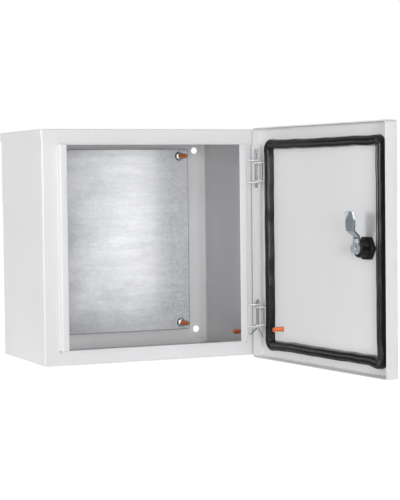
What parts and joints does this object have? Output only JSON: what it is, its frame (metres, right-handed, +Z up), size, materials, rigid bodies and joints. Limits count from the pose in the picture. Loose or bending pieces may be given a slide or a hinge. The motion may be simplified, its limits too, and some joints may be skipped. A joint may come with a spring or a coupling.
{
  "type": "wall_enclosure",
  "caption": "Light grey folded-steel wall enclosure with a side-hinged door, rubber seal, cranked quarter-turn lock, galvanised mounting panel on studs and a gland plate under the base",
  "frame": {"origin": "middle of the four wall holes, on the outer face of the back wall", "axes": "X right as seen from the front, Y towards the wall, Z up; the front of the enclosure faces -Y"},
  "size_m": [0.3386, 0.4797, 0.3057],
  "materials": {
    "paint": "light grey textured powder coat",
    "galvanised": "galvanised sheet with a fine spangle",
    "copper": "copper-plated welded studs",
    "zinc": "zinc-plated steel",
    "rubber": "black foamed rubber with a smooth skin",
    "black_plastic": "black glass-filled nylon"
  },
  "bodies": {
    "cabinet": {"body_wrap": "paint", "roof_cap": "paint", "base_pan": "paint", "mounting_panel": "galvanised", "panel_studs": "copper", "panel_nuts": "zinc", "panel_washers": "zinc", "panel_jam_nuts": "zinc", "wall_earth_stud": "copper", "gland_plate": "paint", "gland_gasket": "rubber", "gland_screws": "zinc", "gland_rivet_nuts": "zinc", "hinge_frame_bracket_low": "paint", "hinge_frame_bracket_high": "paint", "hinge_pin_low": "zinc", "hinge_pin_high": "zinc"},
    "door": {"door_shell": "paint", "door_seal": "rubber", "door_earth_stud": "copper", "hinge_door_bracket_low": "paint", "hinge_door_bracket_high": "paint", "lock_housing": "black_plastic", "lock_seal": "rubber", "lock_nut": "black_plastic"},
    "lock": {"lock_core": "zinc", "lock_cam": "zinc", "cam_washer": "zinc", "cam_bolt": "zinc"}
  },
  "joints": [
    {"name": "door_hinge", "type": "hinge", "parent": "cabinet", "child": "door", "pos_m": [0.1441, -0.1843, 0], "axis": [0, 0, 1], "range_deg": [-96, 3]},
    {"name": "lock_turn", "type": "hinge", "parent": "door", "child": "lock", "pos_m": [0.17849, -0.4206, 0.0017], "axis": [0.9945, 0.1045, 0], "range_deg": [0, 90]}
  ]
}
